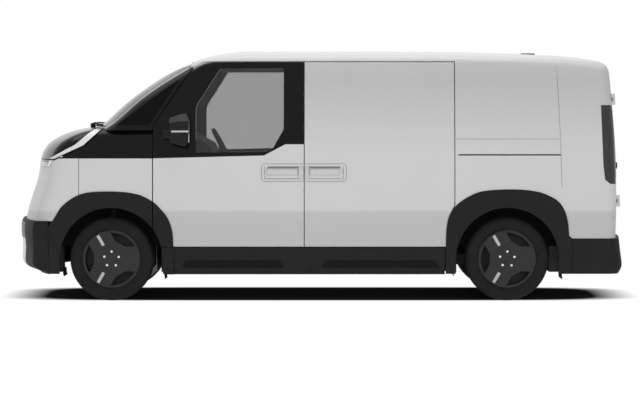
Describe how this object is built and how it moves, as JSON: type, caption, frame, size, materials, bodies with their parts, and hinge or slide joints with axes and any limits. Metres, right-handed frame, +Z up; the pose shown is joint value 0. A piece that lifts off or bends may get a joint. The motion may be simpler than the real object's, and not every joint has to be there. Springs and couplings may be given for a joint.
{
  "type": "electric panel van",
  "caption": "Panel van with sliding side doors, twin rear doors, opening bonnet, steered front wheels and an empty load space.",
  "frame": {"origin": "on the floor below the middle of the van's length and width", "axes": "+X to the nose, +Y to the van's left, +Z up"},
  "size_m": [4.6943, 2.17, 1.9049],
  "materials": {
    "tyre": "matte",
    "liner": "matte",
    "wheel_cover": "satin",
    "glass": "gloss",
    "black_gloss": "gloss",
    "mirror_shell": "gloss",
    "body_paint": "gloss",
    "tail_lamp": "gloss",
    "headlamp": "gloss",
    "cladding": "matte",
    "insert": "satin",
    "skid": "satin",
    "cast": "matte",
    "underbody_steel": "matte",
    "floor_steel": "satin",
    "aluminium_case": "satin",
    "cabin_plastic": "matte",
    "seat_fabric": "matte"
  },
  "bodies": {
    "chassis": {"arch_claddings": "cladding", "battery_pack": "aluminium_case", "body_side_left": "body_paint", "body_side_right": "body_paint", "bulkhead": "floor_steel", "bumper_insert": "insert", "cowl": "black_gloss", "dashboard": "cabin_plastic", "drive_unit": "aluminium_case", "firewall": "floor_steel", "floor_pan": "floor_steel", "front_bumper": "cladding", "front_wings": "body_paint", "headlamps": "headlamp", "nose_panel": "body_paint", "quarter_windows": "glass", "rear_axle": "underbody_steel", "rear_bumper": "cladding", "roof_panel": "body_paint", "seats": "seat_fabric", "sills": "cladding", "skid_plate": "skid", "sliding_door_left": "body_paint", "sliding_door_right": "body_paint", "subframe": "underbody_steel", "suspension_struts": "cast", "tail_lamps": "tail_lamp", "wheel_liners": "liner", "windscreen": "glass", "wing_tops": "black_gloss"},
    "bonnet": {"bonnet": "black_gloss"},
    "front_door_left": {"door_cladding_left": "cladding", "door_panel_left": "body_paint", "door_frame_left": "black_gloss", "door_glass_left": "glass", "mirror_left": "mirror_shell"},
    "rear_door_left": {"rear_door_left": "body_paint"},
    "knuckle_left": {"knuckle_left": "cast"},
    "wheel_front_left": {"tyre_front_left": "tyre", "wheel_front_left": "wheel_cover"},
    "wheel_rear_left": {"tyre_rear_left": "tyre", "wheel_rear_left": "wheel_cover"},
    "front_door_right": {"door_cladding_right": "cladding", "door_panel_right": "body_paint", "door_frame_right": "black_gloss", "door_glass_right": "glass", "mirror_right": "mirror_shell"},
    "rear_door_right": {"rear_door_right": "body_paint"},
    "knuckle_right": {"knuckle_right": "cast"},
    "wheel_front_right": {"tyre_front_right": "tyre", "wheel_front_right": "wheel_cover"},
    "wheel_rear_right": {"tyre_rear_right": "tyre", "wheel_rear_right": "wheel_cover"},
    "steering_wheel": {"steering_wheel": "cabin_plastic"},
    "steering_rack": {"steering_rack": "underbody_steel"}
  },
  "joints": [
    {"name": "front_door_swing_left", "type": "hinge", "parent": "chassis", "child": "front_door_left", "pos_m": [1.2, 0.907, 0.915], "axis": [0, 0, -1], "range_deg": [0, 66]},
    {"name": "rear_door_swing_left", "type": "hinge", "parent": "chassis", "child": "rear_door_left", "pos_m": [-2.2674, 0.792, 0.754], "axis": [-0.0505, 0, -0.9987], "range_deg": [0, 180]},
    {"name": "steer_left", "type": "hinge", "parent": "chassis", "child": "knuckle_left", "pos_m": [1.578, 0.717, 0.316], "axis": [0, 0, 1], "range_deg": [-32, 32]},
    {"name": "wheel_spin_front_left", "type": "hinge", "parent": "knuckle_left", "child": "wheel_front_left", "pos_m": [1.578, 0.787, 0.316], "axis": [0, 1, 0], "continuous": true},
    {"name": "wheel_spin_rear_left", "type": "hinge", "parent": "chassis", "child": "wheel_rear_left", "pos_m": [-1.417, 0.787, 0.316], "axis": [0, 1, 0], "continuous": true},
    {"name": "front_door_swing_right", "type": "hinge", "parent": "chassis", "child": "front_door_right", "pos_m": [1.2, -0.907, 0.915], "axis": [0, 0, 1], "range_deg": [0, 66]},
    {"name": "rear_door_swing_right", "type": "hinge", "parent": "chassis", "child": "rear_door_right", "pos_m": [-2.2674, -0.792, 0.754], "axis": [0.0505, 0, 0.9987], "range_deg": [0, 180]},
    {"name": "steer_right", "type": "hinge", "parent": "chassis", "child": "knuckle_right", "pos_m": [1.578, -0.717, 0.316], "axis": [0, 0, 1], "range_deg": [-32, 32]},
    {"name": "wheel_spin_front_right", "type": "hinge", "parent": "knuckle_right", "child": "wheel_front_right", "pos_m": [1.578, -0.787, 0.316], "axis": [0, 1, 0], "continuous": true},
    {"name": "wheel_spin_rear_right", "type": "hinge", "parent": "chassis", "child": "wheel_rear_right", "pos_m": [-1.417, -0.787, 0.316], "axis": [0, 1, 0], "continuous": true},
    {"name": "bonnet_lift", "type": "hinge", "parent": "chassis", "child": "bonnet", "pos_m": [1.6, 0, 1.283], "axis": [0, -1, 0], "range_deg": [0, 50]},
    {"name": "steering_turn", "type": "hinge", "parent": "chassis", "child": "steering_wheel", "pos_m": [0.74, 0.4, 1.13], "axis": [-0.8829, 0, 0.4695], "range_deg": [-450, 450]},
    {"name": "rack_slide", "type": "slide", "parent": "chassis", "child": "steering_rack", "axis": [0, 1, 0], "range_m": [-0.075, 0.075]}
  ],
  "couplings": [
    {"joint": "steer_right", "follows": "steer_left", "ratio": 1},
    {"joint": "steering_turn", "follows": "steer_left", "ratio": 14},
    {"joint": "rack_slide", "follows": "steer_left", "m_per_rad": -0.128}
  ]
}
